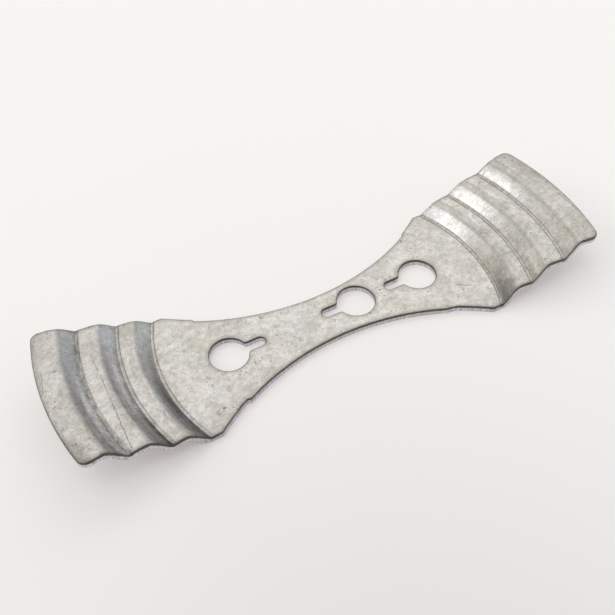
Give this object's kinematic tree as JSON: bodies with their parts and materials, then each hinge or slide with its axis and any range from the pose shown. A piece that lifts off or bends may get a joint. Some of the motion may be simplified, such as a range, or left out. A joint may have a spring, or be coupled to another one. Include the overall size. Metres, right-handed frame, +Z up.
{
  "type": "candle wick bar",
  "caption": "Waisted strip of galvanised sheet steel with keyhole openings for wicks and stepped, raised ends that rest on a container's rim.",
  "frame": {"origin": "centre of the bounding box at its base: under the middle of the flat web, on the plane it lies on", "axes": "+X along the bar, towards the end with two keyholes beside it; +Y across the bar; +Z up, the side the ends are raised to"},
  "size_m": [0.114, 0.0308, 0.0106],
  "materials": {
    "wick_bar": "hot-dip galvanised, dull, with a faint mottle"
  },
  "bodies": {
    "root": {"wick_bar": "wick_bar"}
  },
  "joints": []
}
